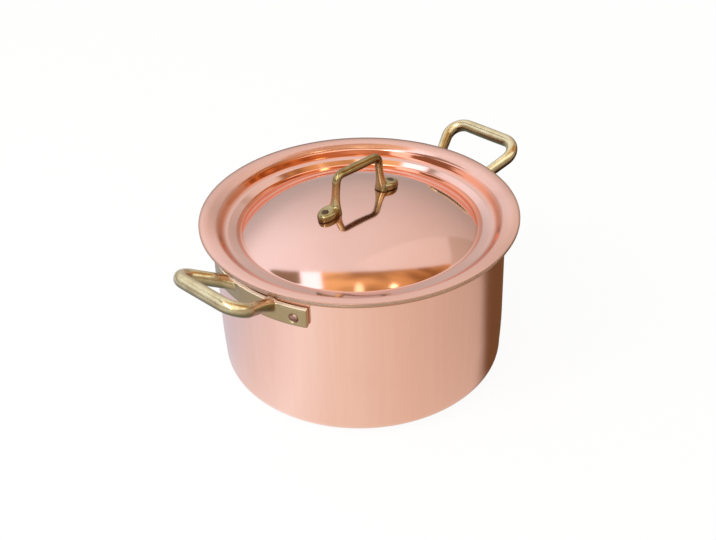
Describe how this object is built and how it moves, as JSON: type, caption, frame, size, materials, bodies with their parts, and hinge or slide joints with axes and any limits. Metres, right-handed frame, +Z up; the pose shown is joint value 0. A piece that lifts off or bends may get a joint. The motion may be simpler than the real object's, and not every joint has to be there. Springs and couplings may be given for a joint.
{
  "type": "stockpot with lid",
  "caption": "Low round stockpot with a lift-off stepped and domed lid, riveted loop side handles and a riveted bridge handle on the lid.",
  "frame": {"origin": "centre of the flat base, on the surface that the pot stands on", "axes": "+Z up, out of the pot's mouth; +X towards one side handle, along the pot's longest extent"},
  "size_m": [0.3454, 0.263, 0.1857],
  "materials": {
    "copper": "copper, polished to a soft satin",
    "tin": "wiped tin lining, dull",
    "side_brass": "cast brass, polished, pale",
    "lid_brass": "cast brass, darkened to olive",
    "rivet_copper": "copper rivet, dulled"
  },
  "bodies": {
    "pot": {"pot_shell": "copper", "pot_lining": "tin", "side_handle_right": "side_brass", "side_rivet_right_a": "rivet_copper", "side_rivet_right_b": "rivet_copper", "side_handle_left": "side_brass", "side_rivet_left_a": "rivet_copper", "side_rivet_left_b": "rivet_copper"},
    "lid": {"lid_shell": "copper", "lid_lining": "tin", "lid_handle": "lid_brass", "lid_rivet_a": "rivet_copper", "lid_rivet_b": "rivet_copper"}
  },
  "joints": [
    {"name": "lid_lift", "type": "slide", "parent": "pot", "child": "lid", "axis": [0, 0, 1], "range_m": [0, 0.18]}
  ]
}
